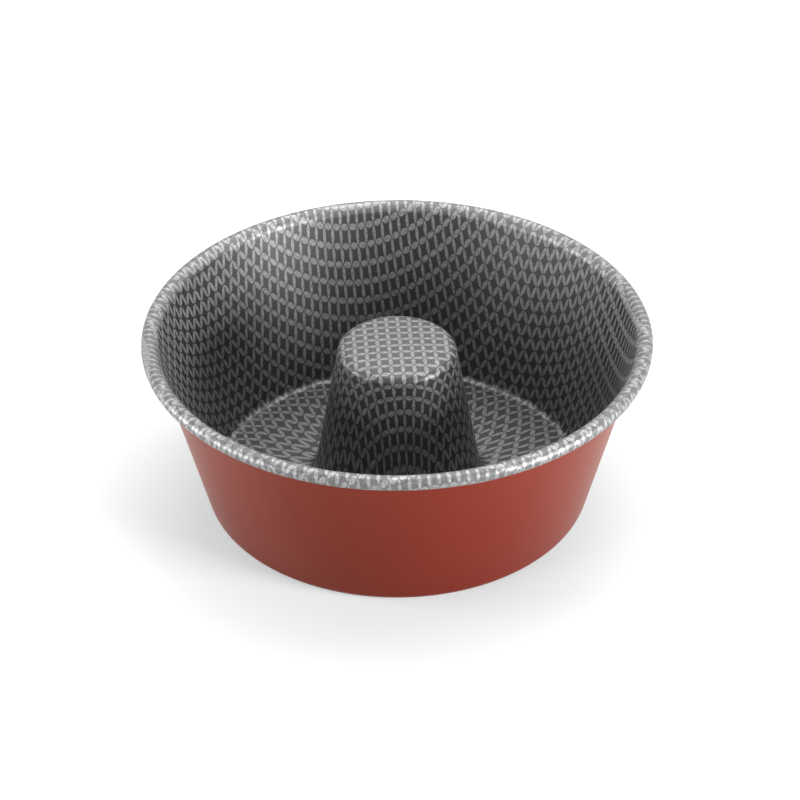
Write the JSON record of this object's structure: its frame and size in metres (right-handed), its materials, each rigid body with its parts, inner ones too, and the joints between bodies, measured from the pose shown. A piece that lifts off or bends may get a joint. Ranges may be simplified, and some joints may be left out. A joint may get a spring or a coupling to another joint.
{
  "type": "round ring cake pan",
  "caption": "Deep round ring cake pan: sloping wall, flat ring floor, closed hollow centre cone and a rolled rim over a wire hoop, with a separate inner lining.",
  "frame": {"origin": "centre of the flat underside, on the pan's own axis", "axes": "+Z along the pan's axis, up through the open mouth; the pan is round, so X and Y are any two directions across it"},
  "size_m": [0.24, 0.24, 0.0894],
  "materials": {
    "red_enamel": "satin red enamel on aluminium sheet",
    "grey_nonstick": "grey non-stick coat with a lighter printed leaf lattice",
    "steel_wire": "drawn bright steel wire"
  },
  "bodies": {
    "root": {"drawn_shell": "red_enamel", "nonstick_lining": "grey_nonstick", "rim_wire": "steel_wire"}
  },
  "joints": []
}
